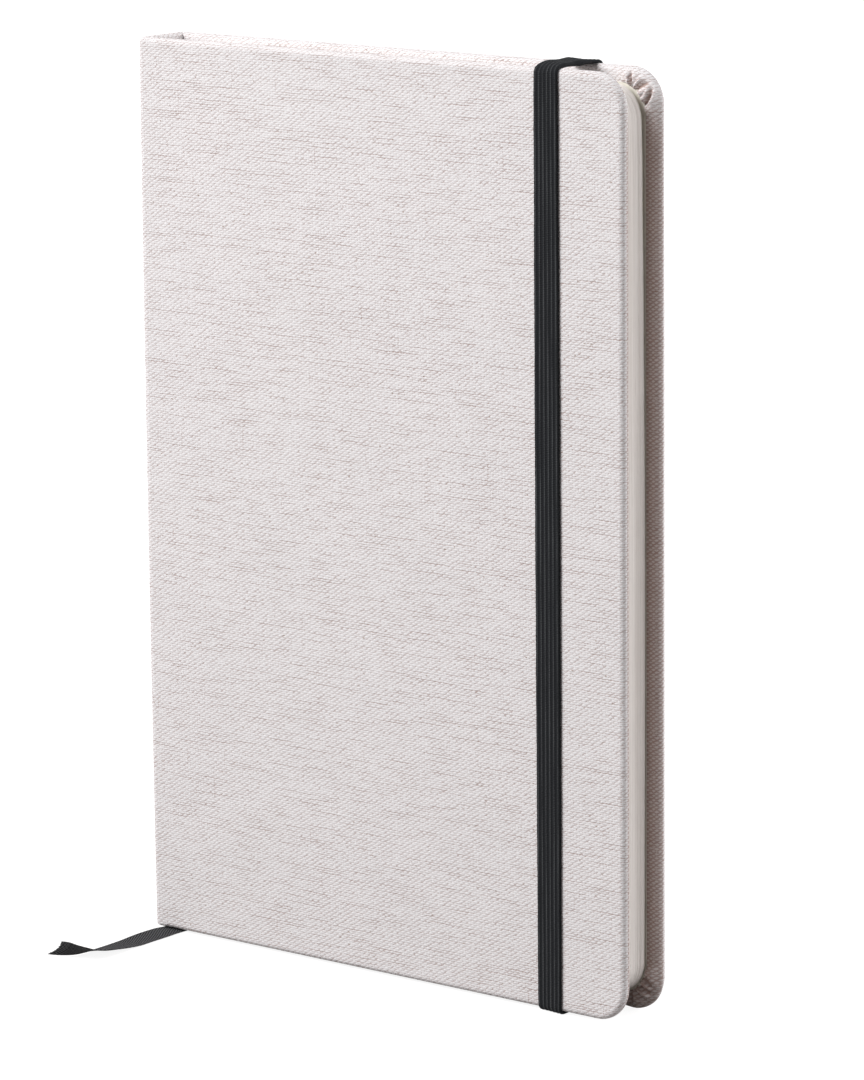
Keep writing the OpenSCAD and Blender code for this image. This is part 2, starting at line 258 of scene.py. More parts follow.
tail_places = np.array([(RIBBON_X + dx, dy, PAGES_FOOT * up) for dx, dy, up, _ in ribbon_down]
                       + [(RIBBON_X + dx, dy, lie_z(way)) for dx, dy, way in ribbon_tail])
tail_ways = unit([row[-1] for row in ribbon_down + ribbon_tail])
seat_x = LINING_X - RIBBON_T / 2
inside_places = np.array(
    [(seat_x, 0, PAGES_HEAD - d) for d in (26, 16, 6, 2, 0.6)]
    + [(seat_x + share * (RIBBON_X - seat_x), 0, PAGES_HEAD + up * 3.5)
       for share, up, _ in ribbon_over]
    + [(RIBBON_X, 0, PAGES_HEAD - d) for d in (0, 0.6, 2, 6)]
    + [(RIBBON_X, 0, PAGES_HEAD + (PAGES_FOOT - PAGES_HEAD) * k / 5) for k in range(1, 6)])
inside_ways = unit([(0, 1, 0)] * 5 + [row[2] for row in ribbon_over] + [(1, 0, 0)] * 9)


def through(points, steps):
    """A smooth curve through the points: on each stretch, the cubic whose slope at a point is
    half the step between the point's two neighbours (Catmull and Rom's)."""
    before, after = 2 * points[:1] - points[1:2], 2 * points[-1:] - points[-2:-1]
    padded = np.concatenate([before, points, after])
    t = (np.arange(steps) / steps)[None, :, None]
    a, b, c, d = (padded[k:len(padded) - 3 + k, None] for k in range(4))
    curve = 0.5 * (2 * b + (c - a) * t + (2 * a - 5 * b + 4 * c - d) * t**2
                   + (3 * b - a - 3 * c + d) * t**3)
    return np.concatenate([curve.reshape(-1, points.shape[1]), points[-1:]])


def along(points):
    """Distance from the first point, along the line of points."""
    return np.concatenate([[0], np.cumsum(np.linalg.norm(np.diff(points, axis=0), axis=1))])


tail_line = through(tail_places, 8)
print("ribbon's free end:", round(along(tail_line)[-1], 1), "mm from the foot of the pages")

# %% [markdown]
# A woven ribbon is a little thicker along its two selvedges, and never lies quite flat. The
# section is a closed loop: across on one side, back on the other. The free end was cut with
# scissors at a slant, so the last ring's width points along the cut. The cut is a little
# hollow, and single threads stand out of it, so the last rings are pulled back in the middle
# and run on unevenly from thread to thread.

# %% Ribbon pieces
ACROSS = np.linspace(-1, 1, 25)


def ribbon_grid(places, ways, steps, cut):
    """Point = place + way * across * half the width + side * (thickness and cupping), where
    side is square to the line and to the way. The last rings slide on along the line by cut,
    a length for each place across the ribbon."""
    line, way = through(places, steps), unit(through(ways, steps))
    ahead = unit(np.gradient(line, axis=0))
    side = unit(np.cross(ahead, way))
    length = along(line)
    loop = np.concatenate([ACROSS, ACROSS[::-1]])
    face = np.repeat([1.0, -1.0], len(ACROSS))
    thick = RIBBON_T / 2 * (1 - 0.45 * (np.abs(loop) < 0.86)) * np.sqrt(1.0001 - np.abs(loop)**16)
    cup = 0.12 * np.sin(length[:, None] / 5.3 + 0.6) * (1 - loop**2)
    slide = np.concatenate([cut, cut[::-1]]) * ramp(length[:, None], length[-1] - 9, length[-1])
    points = (line[:, None] + way[:, None] * (loop * RIBBON_W / 2)[None, :, None]
              + side[:, None] * (face * thick + cup)[..., None]
              + ahead[:, None] * slide[..., None])
    points[..., 2] = np.maximum(points[..., 2], LIFT / 2 + (face > 0) * 0.05)
    points = np.concatenate([points, points[:, :1]], 1)
    flat = spread(np.append(loop, loop[0]) * RIBBON_W / 2, length[:, None])
    end = (points + points[:, ::-1]) / 2
    return (np.concatenate([end[:1], points, end[-1:]]),
            np.concatenate([flat[:1], flat, flat[-1:]]), None)


frays = 0.35 * chance.random(len(ACROSS)) * (np.arange(len(ACROSS)) % 2)
cut_end = frays - 1.0 * (1 - ACROSS**2)
ribbon_end = mesh_piece("ribbon_free_end", [ribbon_grid(tail_places, tail_ways, 8, cut_end)])
ribbon_run = mesh_piece("ribbon_in_book", [ribbon_grid(inside_places, inside_ways, 8, 0 * ACROSS)])

for piece in (ribbon_end, ribbon_run):
    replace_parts(piece, "ribbon_marker")
    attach(piece, "book_block")

# %% [markdown]
# ## Walking round an edge
# A cover, a leaf and the block of pages share one outline: straight along the head, round a
# corner, down the fore edge, round the other corner and back along the foot. A path round it
# gives each step a place and the way inwards. Any surface near the edge then follows from how
# far it is drawn in and how deep it lies. Far from the edge the surface is a plain patch.

# %% Outline and insets
CORNER_STEPS = 48


class Outline:
    """Three sides of a leaf. Head and foot steps are at x_marks, fore-edge steps at z_marks,
    and round a corner the step at angle a is centre + r (cos a, sin a)."""

    def __init__(self, x_marks, z_marks, x_fore, z_foot, z_head, r):
        self.x_fore, self.z_foot, self.z_head, self.r = x_fore, z_foot, z_head, r
        turn = np.radians(np.linspace(90, 0, CORNER_STEPS + 1))[1:-1]
        fan = spread(np.cos(turn), np.sin(turn))
        low = fan[::-1] * (1, -1)
        parts = [spread(x_marks, z_head), (x_fore - r, z_head - r) + r * fan,
                 spread(x_fore, z_marks[::-1]), (x_fore - r, z_foot + r) + r * low,
                 spread(x_marks[::-1], z_foot)]
        ways = [(0.0, -1.0), -fan, (-1.0, 0.0), -low, (0.0, 1.0)]
        self.at = np.concatenate(parts)
        self.inward = np.concatenate([np.broadcast_to(w, p.shape) for w, p in zip(ways, parts)])
        self.round = np.repeat([False, True, False, True, False], [len(p) for p in parts])

    def drawn_in(self, inset):
        """Place + way inwards * inset. Past the middle of a round corner the step stays on
        the line where the two straight sides, drawn in as far, would meet."""
        reach = np.where(self.round[:, None], np.minimum(inset, self.r), inset)
        spot = self.at[:, None] + self.inward[:, None] * reach[..., None]
        return spread(np.minimum(spot[..., 0], self.x_fore - np.maximum(inset, 0)),
                      np.clip(spot[..., 1], self.z_foot + inset, self.z_head - inset))


def patch(x_marks, z_marks, depth):
    """A flat grid: x down the rows, z along the columns, all at one depth."""
    return spread(x_marks[:, None], depth, z_marks)


def marks(stops, steps):
    """Evenly spaced marks from each stop to the next, in as many steps as its number says."""
    return np.unique(np.round(np.concatenate(
        [np.linspace(low, high, n + 1) for low, high, n in zip(stops, stops[1:], steps)]), 4))


print("a corner is", CORNER_STEPS, "steps of", round(np.pi / 2 * CORNER_R / CORNER_STEPS, 2), "mm")

# %% [markdown]
# ## Canvas over the covers
# The covering is one sheet of canvas, glued over two boards and a spine board and turned in
# over their edges. At the joints the turned-in cloth bridges the gap between the boards in a
# shallow dip. At a round corner there is too much cloth on the inside. The binder pinches
# it into small folds that lie over each other like a fan, and presses them flat towards the
# pages. The section below goes over the edge: flat outside, round over the board's softened
# edge, and flat again inside for the width of the turn-in. At the joint there is no board, so
# the section thins until cloth lies on cloth.

# %% Section over an edge
quarter = np.radians(np.linspace(0, 90, 8))
OUTSIDE = np.array([CORNER_R, 6.5, 5, 3.8, 2.8, 2.1, 1.6])
INSIDE = np.array([1.35, 1.55, 1.8, 2.05, 2.3, 2.55, 2.8, 3.05, 3.3, 3.5, 3.7, 3.9, 4.1, 4.3, 4.6,
                   5.0, 6.0, 7.0, 8.0, 10.0, 12.0])


def over_edge(thickness):
    """Inset and depth along the section, one row for each thickness. With r the smaller of
    EDGE_R and half the thickness, each rounding is inset = r (1 - sin), depth = r (1 - cos),
    and the second one is the first seen from the other face."""
    t = np.asarray(thickness, float)[:, None]
    r = np.minimum(EDGE_R, t / 2)
    inset, depth = r * (1 - np.sin(quarter)), r * (1 - np.cos(quarter))
    full = np.ones_like(t)
    return (np.concatenate([full * OUTSIDE, inset, inset[:, ::-1], full * INSIDE], 1),
            np.concatenate([full * 0 * OUTSIDE, depth, (t - depth)[:, ::-1], t + 0 * INSIDE], 1))


def travelled(inset, depth):
    """How far along the cloth each point of the section is from the first one."""
    return np.concatenate([0 * inset[:, :1], np.cumsum(np.hypot(
        np.diff(inset, axis=1), np.diff(depth, axis=1)), 1)], 1)


SEAM_X = -67.6
DOUBLED_T = 1.6
inset, depth = over_edge([DOUBLED_T, COVER_T])
print("the cloth travels", travelled(inset, depth)[:, -1].round(1), "mm over an edge")

# %% [markdown]
# The gathers stand a little higher than the flat turn-in, because cloth lies on cloth there.
# Between them the cloth is pinched down into valleys that run from the cover's rounded edge
# towards the pages and lean over as they go. A table gives the valleys of each corner, and
# the deepest one counts at every point, which leaves sharp creases. The gathers begin inside
# the rounded edge and end before the pages, where they are pressed flat.

# %% Gathers at a corner
# for each valley: its angle 5 mm from the corner's middle, how many degrees it leans for each
# millimetre outwards, its half width in degrees and its depth in millimetres
VALLEYS = {"head": [(9, 11, 13, 1.4), (50, -3.8, 14, 1.1), (82, 2, 8, 1.1), (68, -2, 6, 0.35),
                    (31, 5, 6, 0.35), (101, 3, 10, 0.6)],
           "foot": [(14, 6, 12, 1.1), (38, -3, 10, 1.3), (61, -5, 11, 0.9), (84, 2, 9, 1.1)]}
GATHER_H, GATHER_LOW = 1.0, -0.25
FAN_START, FAN_END = (-32, -8), (122, 98)
BESIDE_PAGES, OVER_PAGES = 3.0, 0.45


def outside_pages(spot, up):
    """Distance outside the pages' round-cornered outline, negative inside it: the length of
    what lies past the corner's middle, less the radius."""
    qx = spot[..., 0] - (PAGES_FORE_X - PAGES_R)
    qz = up + (HEAD_Z - CORNER_R) - (PAGES_HEAD - PAGES_R)
    return (np.hypot(np.maximum(qx, 0), np.maximum(qz, 0))
            + np.minimum(np.maximum(qx, qz), 0) - PAGES_R)


def gathers(spot, inset, valleys, z_middle):
    """Height of the gathered cloth: GATHER_H less the depth of the deepest valley, which falls
    off to nothing over its half width on both sides of its leaning line. Also how much shade
    is painted on it: a little along the fore edge and foot, more beside the pages and in the
    valleys, where the recess and the folds would lie in shade."""
    across = spot[..., 0] - (FORE_X - CORNER_R)
    up = (spot[..., 1] - z_middle) * np.sign(z_middle - MIDDLE_Z)
    angle, out = np.degrees(np.arctan2(up, across)), np.hypot(across, up)
    deep = np.zeros_like(angle)
    for place, lean, half, depth in valleys:
        away = np.abs(angle - place - lean * (out - 5)) / half
        deep = np.maximum(deep, depth * np.clip(1 - away, 0, 1)**1.1)
    height = np.maximum(GATHER_H - deep + 0.06 * np.sin(angle / 3 + 2 * out), GATHER_LOW)
    outside = outside_pages(spot, up)
    fan = ramp(inset, 0.5, 2.0) * ramp(angle, *FAN_START) * ramp(angle, *FAN_END) * (out > 1)
    # painted shade: the turned-in cloth is darkened below the head, more beside the pages' edge
    # and most in the valleys of the gathers
    inside_shade = (0.5 + 0.25 * ramp(outside, BESIDE_PAGES, 0.2)) * ramp(spot[..., 1], 207, 194)
    return (height * fan * ramp(outside, 0.0, OVER_PAGES),
            np.maximum(inside_shade, fan * (0.15 + 0.7 * ramp(deep, 0.3, 1.1))))


print("valleys at the head corner:", len(VALLEYS["head"]))

# %% Cloth of one cover
SLIT_HALF = (BAND_W / 2 + 0.1, 0.45)
slits_z = (FOOT_Z + SLIT_FROM_END, HEAD_Z - SLIT_FROM_END)
cover_x = marks([SEAM_X, -64, 40, BAND_X - SLIT_HALF[0], BAND_X + SLIT_HALF[0], 56,
                 FORE_X - CORNER_R], [18, 26, 2, 4, 2, 20])
cover_z = marks([FOOT_Z + CORNER_R, FOOT_Z + CORNER_R + 5,
                 *(z + half for z in slits_z for half in (-SLIT_HALF[1], SLIT_HALF[1])),
                 HEAD_Z - CORNER_R - 5, HEAD_Z - CORNER_R], [20, 1, 1, 44, 1, 1, 20])
cover = Outline(cover_x, cover_z, FORE_X, FOOT_Z, HEAD_Z, CORNER_R)
FOLD_SLOPE = 0.35
FOOT_SAG, BUNDLE = 0.6, 0.85
round_spine = SPINE_R * np.pi + 2 * (FACE_Y - SPINE_R)


def cover_cloth(name, slits):
    """Edge strip: the section over the edge carried round the outline, with depth counted
    from the outer face. At the joint the section is thin, but cloth gathers there over the
    head and foot, so the last 3 mm are nearly full. Middle: a flat patch. The back cover is
    the front one mirrored in Y, with a foot corner that hangs FOOT_SAG lower, and its flat
    coordinates go on from the front's round the spine."""
    thick = DOUBLED_T + (COVER_T - DOUBLED_T) * ramp(cover.at[:, 0], -66.4, BOARD_X)
    inset, depth = over_edge(thick)
    depth = depth + BUNDLE * ((COVER_T - thick)[:, None] * ramp(depth, 0.8, 1.6)
                              * ramp(inset, 3.4, 2.6))
    spot = cover.drawn_in(inset)
    inner = depth > thick[:, None] / 2
    upper = spot[..., 1] > MIDDLE_Z
    folds, painted_shade = np.where(upper, gathers(spot, inset, VALLEYS["head"], HEAD_Z - CORNER_R),
                           gathers(spot, inset, VALLEYS["foot"], FOOT_Z + CORNER_R)) * inner
    edge = spread(spot[..., 0], depth + folds - FACE_Y, spot[..., 1])
    over = CORNER_R - travelled(inset, depth)
    flat = cover.at[:, None] + cover.inward[:, None] * over[..., None]
    wrap = -over[len(cover_x), -1] - TURN_IN
    end_z = np.where(upper, HEAD_Z + wrap, FOOT_Z - wrap)
    from_end = spread(spot[..., 0], 2 * end_z - wrap * np.sign(end_z - MIDDLE_Z) - spot[..., 1])
    from_fore = spread(2 * FORE_X + wrap - spot[..., 0], spot[..., 1])
    slope = np.abs(cover.inward[:, 1])[:, None, None]
    if slits:
        edge[..., 2] -= FOOT_SAG * ramp(edge[..., 0], 54, 62) * ramp(edge[..., 2], 9, 3)
    gathered = inner & cover.round[:, None]
    flat = np.where(gathered[..., None], np.where(slope > FOLD_SLOPE, from_end, from_fore), flat)
    face, hole = patch(cover_x, cover_z, -FACE_Y), None
    face_flat = face[..., ::2]
    if slits:
        mid_x = (cover_x[:-1] + cover_x[1:]) / 2
        mid_z = (cover_z[:-1] + cover_z[1:]) / 2
        near = [np.abs(mid_z - z) < SLIT_HALF[1] for z in slits_z]
        hole = (np.abs(mid_x - BAND_X) < SLIT_HALF[0])[:, None] & (near[0] | near[1])[None]
        edge, face = edge * (1, -1, 1), face * (1, -1, 1)
        flat, face_flat = ((2 * SEAM_X - round_spine, 0) + f * (-1, 1) for f in (flat, face_flat))
    # the painted shade goes along as a third flat coordinate
    flat = np.concatenate([flat, painted_shade[..., None]], -1)
    face_flat = np.concatenate([face_flat, 0 * face[..., :1]], -1)
    return mesh_piece(name, [(edge, flat, None), (face, face_flat, hole)], flip=slits)


front_cloth = cover_cloth("canvas_front_cover", slits=False)
back_cloth = cover_cloth("canvas_back_cover", slits=True)

# %% [markdown]
# The spine is the narrow middle of the same sheet. Its path goes round the two long edges of
# the spine board, and the section over the head and foot is the one above, only longer on
# the outside. It meets both covers on a straight line a little before the joint.

# %% Cloth of the spine
SPINE_BOW = 0.4


def spine_cloth():
    """Round each long edge the step at angle a is centre - r (sin a, cos a) in X and Y, and
    between them it goes straight along Y. Points lie depth inwards of the path, and z is the
    inset from the head or up from the foot. The flat swells by the root of a half sine wave
    from foot to head."""
    bend = np.radians(np.linspace(0, 90, 12))
    way = spread(np.sin(bend), np.cos(bend))
    arc = (SEAM_X, SPINE_R - FACE_Y) - SPINE_R * way
    run = np.linspace(SPINE_R - FACE_Y, FACE_Y - SPINE_R, 28)[1:-1]
    straight = spread(SPINE_X, run)
    path = np.concatenate([arc, straight, arc[::-1] * (1, -1)])
    inward = np.concatenate([way, np.tile((1.0, 0.0), (len(run), 1)), way[::-1] * (1, -1)])
    corner = ramp(np.abs(path[:, 1]), FACE_Y, 6.5)
    thick = DOUBLED_T + 0.4 * corner + (SPINE_T - DOUBLED_T - 0.4) * ramp(
        np.abs(path[:, 1]), 6.6, 6.0)
    inset, depth = over_edge(thick)
    middle = np.linspace(CORNER_R, HEAD_Z - FOOT_Z - CORNER_R, 40)[1:-1]
    middle = np.tile(middle, (len(path), 1))
    z, up = (np.concatenate([HEAD_Z - end[:, ::-1], HEAD_Z - middle, FOOT_Z + end], 1)
             for end in (inset, CORNER_R - travelled(inset, depth)))
    deep = np.concatenate([depth[:, ::-1], 0 * middle, depth], 1)
    spot = path[:, None] + inward[:, None] * deep[..., None]
    swell = SPINE_BOW * ramp(path[:, :1], SEAM_X, SPINE_X) * np.sqrt(np.maximum(
        np.sin(np.pi * (z - FOOT_Z) / (HEAD_Z - FOOT_Z)), 0))
    points = spread(spot[..., 0] - swell, spot[..., 1], z)
    flat = spread(SEAM_X - along(path)[:, None], up)
    return mesh_piece("canvas_spine", [(points, flat, None)])


spine = spine_cloth()
for piece, node, body in ((front_cloth, "front_cloth", "front_cover"),
                          (back_cloth, "back_cloth", "back_cover")):
    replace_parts(thicken(piece, CLOTH_T), node)
    side = -FACE_Y if body == "front_cover" else FACE_Y
    side * MM
    side * MM
    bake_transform(piece)
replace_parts(thicken(spine, CLOTH_T), "spine_cloth")
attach(spine, "book_block")

# %% [markdown]
# ## Paper in the joints
# Each endpaper is one folded sheet. Half of it is pasted to the cover and half stays free, so
# at the joint the paper dips over the bare cloth. On the real book it bends there when the
# cover opens. A short strip carried from head to foot is enough to show the dip.

# %% Strips of endpaper over the joints
def joint_paper(name, side):
    """A strip: its section in X and Y goes from the free leaf's fold down to the cloth, over
    it and up the board's edge to the pasted half. Each point of it repeats along Z."""
    section = through(np.array([
        (-65.9, -5.08), (-66.1, -5.4), (-66.0, -5.8), (-65.6, -6.05), (-65.15, -6.0),
        (-64.8, -5.75), (-64.55, -5.45), (-64.42, -5.22)]), 5)
    z = np.linspace(PAGES_FOOT + 0.1, PAGES_HEAD - 0.1, 12)
    points = spread(section[:, None, 0], section[:, None, 1] * -side, z)
    flat = spread(along(section)[:, None], z)
    strip = thicken(mesh_piece(name, [(points, flat, None)], flip=side > 0), 0.12)
    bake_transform(strip)
    return strip


joint_papers = [joint_paper("endpaper_joint_front", -1),
                joint_paper("endpaper_joint_back", 1)]

# %% [markdown]
# ## The block of pages
# The leaves are sewn and trimmed together, so the trimmed edges show as many thin lines side
# by side. Making every leaf would cost millions of faces. Here a section across the thickness
# has a small step for each few leaves, and it is carried round the three trimmed edges. The
# leaves next to the back cover are pressed less near the head than in the middle, so the
# block is a little thinner there and a dark gap opens between it and the cover.

# %% Leaves of the book
LEAVES = 84
page_x = marks([PAGES_X, -50, PAGES_FORE_X - PAGES_R], [4, 24])
page_z = marks([PAGES_FOOT + PAGES_R, PAGES_HEAD - PAGES_R], [44])
page_edge = Outline(page_x, page_z, PAGES_FORE_X, PAGES_FOOT, PAGES_HEAD, PAGES_R)
FACE_INSET = np.array([PAGES_R, 5.5, 3.6, 2, 0.9, 0.3, 0.0])


def slack(x, z):
    """How far the last leaves stand off the back cover: nothing until 30 mm from the fore
    edge, then rising to 1.6 mm at the head, 0.35 mm at mid-height and 0.65 mm near the foot."""
    height = 0.35 + 0.65 * ramp(z, 110, 190) + 0.6 * ramp(z, 188, 204) + 0.3 * ramp(z, 80, 20)
    return height * ramp(x, PAGES_FORE_X - 30, PAGES_FORE_X - 2)


def leaf_face(y):
    """One side of a leaf: the outline drawn in, and a flat patch inside it."""
    spot = page_edge.drawn_in(np.tile(FACE_INSET, (len(page_edge.at), 1)))
    return spread(spot[..., 0], y, spot[..., 1]), patch(page_x, page_z, y)


def page_block():
    """The edge: section point k stands at its share of the thickness, drawn in by that
    leaf's own depth plus a slow wave along the path. With the two faces and the back, it is
    squeezed towards the front by the slack."""
    share = np.linspace(-1, 1, LEAVES + 1)
    own = 0.07 * chance.random(LEAVES + 1) + 0.05 * chance.random(LEAVES + 1)**4
    own[[0, -1]] = 0.02
    walk = along(page_edge.at)[:, None] / 40
    drift = chance.random(LEAVES + 1) * 6
    wave = 0.025 * np.sin(walk + drift) * np.sin(0.37 * walk + 2 * drift)
    depth = own + wave * (np.abs(share) < 0.99)
    depth[:, [0, -1]] = 0
    spot = page_edge.drawn_in(depth)
    y = PAGES_Y * share
    grids = [(spread(spot[..., 0], y, spot[..., 1]),
              spread(along(page_edge.at)[:, None], y), None)]
    for side in (-1, 1):
        rim, middle = leaf_face(side * PAGES_Y)
        grids += [(rim[:, ::side], rim[:, ::side, ::2], None),
                  (middle[:, ::-side], middle[:, ::-side, ::2], None)]
    z = np.concatenate([PAGES_FOOT + FACE_INSET[::-1], page_z[1:-1], PAGES_HEAD - FACE_INSET])
    back = spread(PAGES_X, y[:, None], z)
    grids.append((back, back[..., 1:], None))
    for points, _, _ in grids:
        points[..., 1] -= slack(points[..., 0], points[..., 2]) * (points[..., 1] / 10 + 0.5)
    return mesh_piece("pages", grids, smooth=False)


def free_leaf(name, side):
    """The outermost leaf: the pages' outline as a sheet beside the block, following its
    slack, with a soft wave of its own near the fore edge."""
    y = side * (PAGES_Y + 0.02 + (side > 0) * 0.11)
    grids = [(grid, grid[..., ::2], None) for grid in leaf_face(y)]
    for points, _, _ in grids:
        x, z = points[..., 0], points[..., 2]
        points[..., 1] -= slack(x, z) * (side > 0) * (1 + 0.12 * np.sin(z / 9.0))
    return thicken(mesh_piece(name, grids, flip=side > 0), 0.12)


pages = page_block()
leaves = [free_leaf("free_endpaper_front", -1), free_leaf("free_endpaper_back", 1)]
for piece, node, slot in ((pages, "page_block", "pages"), (leaves[0], "front_flyleaf", "endpaper"),
                          (leaves[1], "back_flyleaf", "endpaper")):
    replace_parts(piece, node)
    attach(piece, "book_block")

# %% [markdown]
# ## The elastic
# A flat braided elastic goes once round the book near the fore edge. Its ends pass through
# two slits in the back cover and are glued inside. It is woven with lengthwise rubber cores,
# which stand up as ribs, and it is a little narrower where it pulls over the head and foot.
# The path is a line with rounded corners, and the ribbed section is carried along it.

# %% Elastic
RIBS = 6
BUNCHED = 0.7
TAB_Y, TAB_LEN = 6.05, 17.5


def rounded_line(corners, radii, straight_steps):
    """Straight runs between corners, and at each inner corner an arc of its radius from one
    tangent point to the other: centre + r (direction that turns from one normal to the other)."""
    corners = np.asarray(corners, float)
    line, here = [], corners[:1]
    for before, corner, after, r, steps in zip(corners, corners[1:], corners[2:], radii,
                                               straight_steps):
        a, b = unit(corner - before), unit(after - corner)
        entry = corner - a * r
        centre = entry + b * r
        turn = np.linspace(0, np.pi / 2, 9)[:, None]
        line.append(here + (entry - here) * np.linspace(0, 1, steps, endpoint=False)[:, None])
        line.append(centre - b * r * np.cos(turn) + a * r * np.sin(turn))
        here = line[-1][-1:]
        line[-1] = line[-1][:-1]
    line.append(here + (corners[-1:] - here) * np.linspace(0, 1, straight_steps[-1])[:, None])
    return np.concatenate(line)


def elastic():
    """Section: ribs (1 - cosine) / 2 high on both faces, and thin at the edges. Each point is
    the path + width way * across + face way * half the thickness."""
    out, foot, head = FACE_Y + BAND_T / 2, FOOT_Z - BAND_T / 2, HEAD_Z + BAND_T / 2
    high, low = HEAD_Z - SLIT_FROM_END, FOOT_Z + SLIT_FROM_END
    line = rounded_line(
        [(TAB_Y, high - TAB_LEN), (TAB_Y, high), (out, high), (out, head), (-out, head),
         (-out, foot), (out, foot), (out, low), (TAB_Y, low), (TAB_Y, low + TAB_LEN)],
        [0.36, 0.45, 1.5, 1.5, 1.5, 1.5, 0.45, 0.36], [4, 3, 8, 20, 150, 20, 8, 3, 4])
    ahead = unit(np.gradient(line, axis=0))
    face = spread(-ahead[:, 1], ahead[:, 0])
    across = np.linspace(-1, 1, 8 * RIBS + 1)
    rib = (1 - np.cos(np.pi * RIBS * (across + 1))) / 2
    half = BAND_T / 2 * (1 - 0.34 * (1 - rib**0.6))
    half[[0, -1]] = 0.1
    loop = np.concatenate([across, across[::-1]])
    thick = np.concatenate([half, -half[::-1]])
    length = along(line)
    z = line[:, 1]
    wide = BAND_W / 2 * (0.965 + 0.05 * np.sin(np.pi * np.clip(z / 210, 0, 1)))
    over = ramp(np.abs(z - 105.7), 103.5, 105)
    edge = 0.04 * np.sin(length / 1.9) * np.sin(length / 3.1)
    edge = edge + 0.09 * over * np.sin(line[:, 0] * 1.1)
    x = BAND_X - 0.1 + loop[None] * (wide + edge)[:, None]
    bunch = BUNCHED * ramp(z, 209, 210.6) * ramp(line[:, 0], 6.5, 3) * ramp(line[:, 0], -8, -5)
    lumps = 1 + bunch[:, None] + 0.25 * over[:, None] * np.sin(line[:, :1] * 0.9 + loop * 2)
    yz = line[:, None] + face[:, None] * (thick * lumps)[..., None]
    points = np.concatenate([x[..., None], yz], -1)
    points[..., 2] = np.maximum(points[..., 2] + bunch[:, None] * BAND_T / 2, 0.0)
    points = np.concatenate([points, points[:, :1]], 1)
    flat = spread(np.append(loop, -1.0) * BAND_W / 2, length[:, None])
    cap = (points + np.concatenate([points[:, :1], points[:, :0:-1]], 1)) / 2
    return mesh_piece("elastic_closure", [(np.concatenate([cap[:1], points, cap[-1:]]),
                                           np.concatenate([flat[:1], flat, flat[-1:]]), None)])


band = elastic()
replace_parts(band, "elastic_band")
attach(band, "back_cover")
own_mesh(band)

# %% [markdown]
# ## Materials as fields
# A procedural material is a formula too: a number that changes over the surface, such as the
# height of a thread, drives the colour and the bump. A small class lets + and * make the Math
# nodes, which would take many lines by hand. Lengths are in millimetres.

# %% Fields over a surface
class Field:
    """A number that varies over a surface: the output of a node."""

    def __init__(self, socket):
        self.socket = socket

    def math(self, kind, *others):
        node = self.socket.id_data.nodes.new("ShaderNodeMath")
        node.operation = kind
        for port, value in zip(node.inputs, (self, *others)):
            plug(port, value)
        return Field(node.outputs[0])

    def __add__(self, other):
        return self.math("ADD", other)

    def __sub__(self, other):
        return self.math("SUBTRACT", other)

    def __mul__(self, other):
        return self.math("MULTIPLY", other)

    def wave(self):
        """Cosine, one whole wave for each 1 of the field."""
        return (self * (2 * np.pi)).math("COSINE")

    def rise(self, low, high):
        """0 below low and 1 above high, smoothly between."""
        node = self.socket.id_data.nodes.new("ShaderNodeMapRange")
        node.interpolation_type = "SMOOTHSTEP"
        for port, value in zip(node.inputs, (self, low, high)):
            plug(port, value)
        return Field(node.outputs[0])


def plug(port, value):
    """Links a field to a port, or writes a plain value into it."""
    if isinstance(value, Field):
        value = value.socket
    if isinstance(value, bpy.types.NodeSocket):
        port.id_data.links.new(value, port)
    else:
        port.default_value = value


def noise(u, v, w, detail=2.0):
    """Smooth random values from 0 to 1, with features about 1 wide in u, v and w."""
    nodes = u.socket.id_data.nodes
    place, texture = nodes.new("ShaderNodeCombineXYZ"), nodes.new("ShaderNodeTexNoise")
    for port, value in zip(place.inputs, (u, v, w)):
        plug(port, value)
    plug(texture.inputs["Vector"], place.outputs[0])
    texture.inputs["Scale"].default_value = 1.0
    texture.inputs["Detail"].default_value = detail
    return Field(texture.outputs[0])


def shade(share, colour, other):
    """Colour where share is 0, turning into the other one where it is 1."""
    node = share.socket.id_data.nodes.new("ShaderNodeMix")
    node.data_type = "RGBA"
    for port, value in zip((0, 6, 7), (share, colour, other)):
        plug(node.inputs[port], (*value, 1.0) if isinstance(value, tuple) else value)
    return node.outputs[2]


def finish(name, roughness, specular):
    """A new material, with the values that are the same all over on its shader."""
    material = bpy.data.materials.new(name)
    material.use_nodes = True
    shader = material.node_tree.nodes["Principled BSDF"]
    shader.inputs["Roughness"].default_value = roughness
    shader.inputs["Specular IOR Level"].default_value = specular
    return material


def flat_fields(material, uv_map="flat_mm"):
    """The two coordinates of a UV map, 0 where the piece has no such map."""
    nodes = material.node_tree.nodes
    source, split = nodes.new("ShaderNodeUVMap"), nodes.new("ShaderNodeSeparateXYZ")
    source.uv_map = uv_map
    plug(split.inputs[0], source.outputs[0])
    return Field(split.outputs[0]), Field(split.outputs[1])


def place_fields(material):
    """Object coordinates of a CAD node, in millimetres."""
    nodes = material.node_tree.nodes
    source, split = nodes.new("ShaderNodeTexCoord"), nodes.new("ShaderNodeSeparateXYZ")
    plug(split.inputs[0], source.outputs["Object"])
    return [Field(port) * 1000.0 for port in split.outputs]


def surface(material, colour, height, strength=1.0):
    """Gives the material its colour, and bump from a height in millimetres."""
    nodes = material.node_tree.nodes
    shader, bump = nodes["Principled BSDF"], nodes.new("ShaderNodeBump")
    bump.inputs["Distance"].default_value = MM
    bump.inputs["Strength"].default_value = strength
    plug(bump.inputs["Height"], height)
    plug(shader.inputs["Normal"], bump.outputs[0])
    plug(shader.inputs["Base Color"], colour)
    return material


def dress(piece, material):
    """The piece wears this material and no other."""
    piece.data.materials.clear()
    piece.data.materials.append(material)
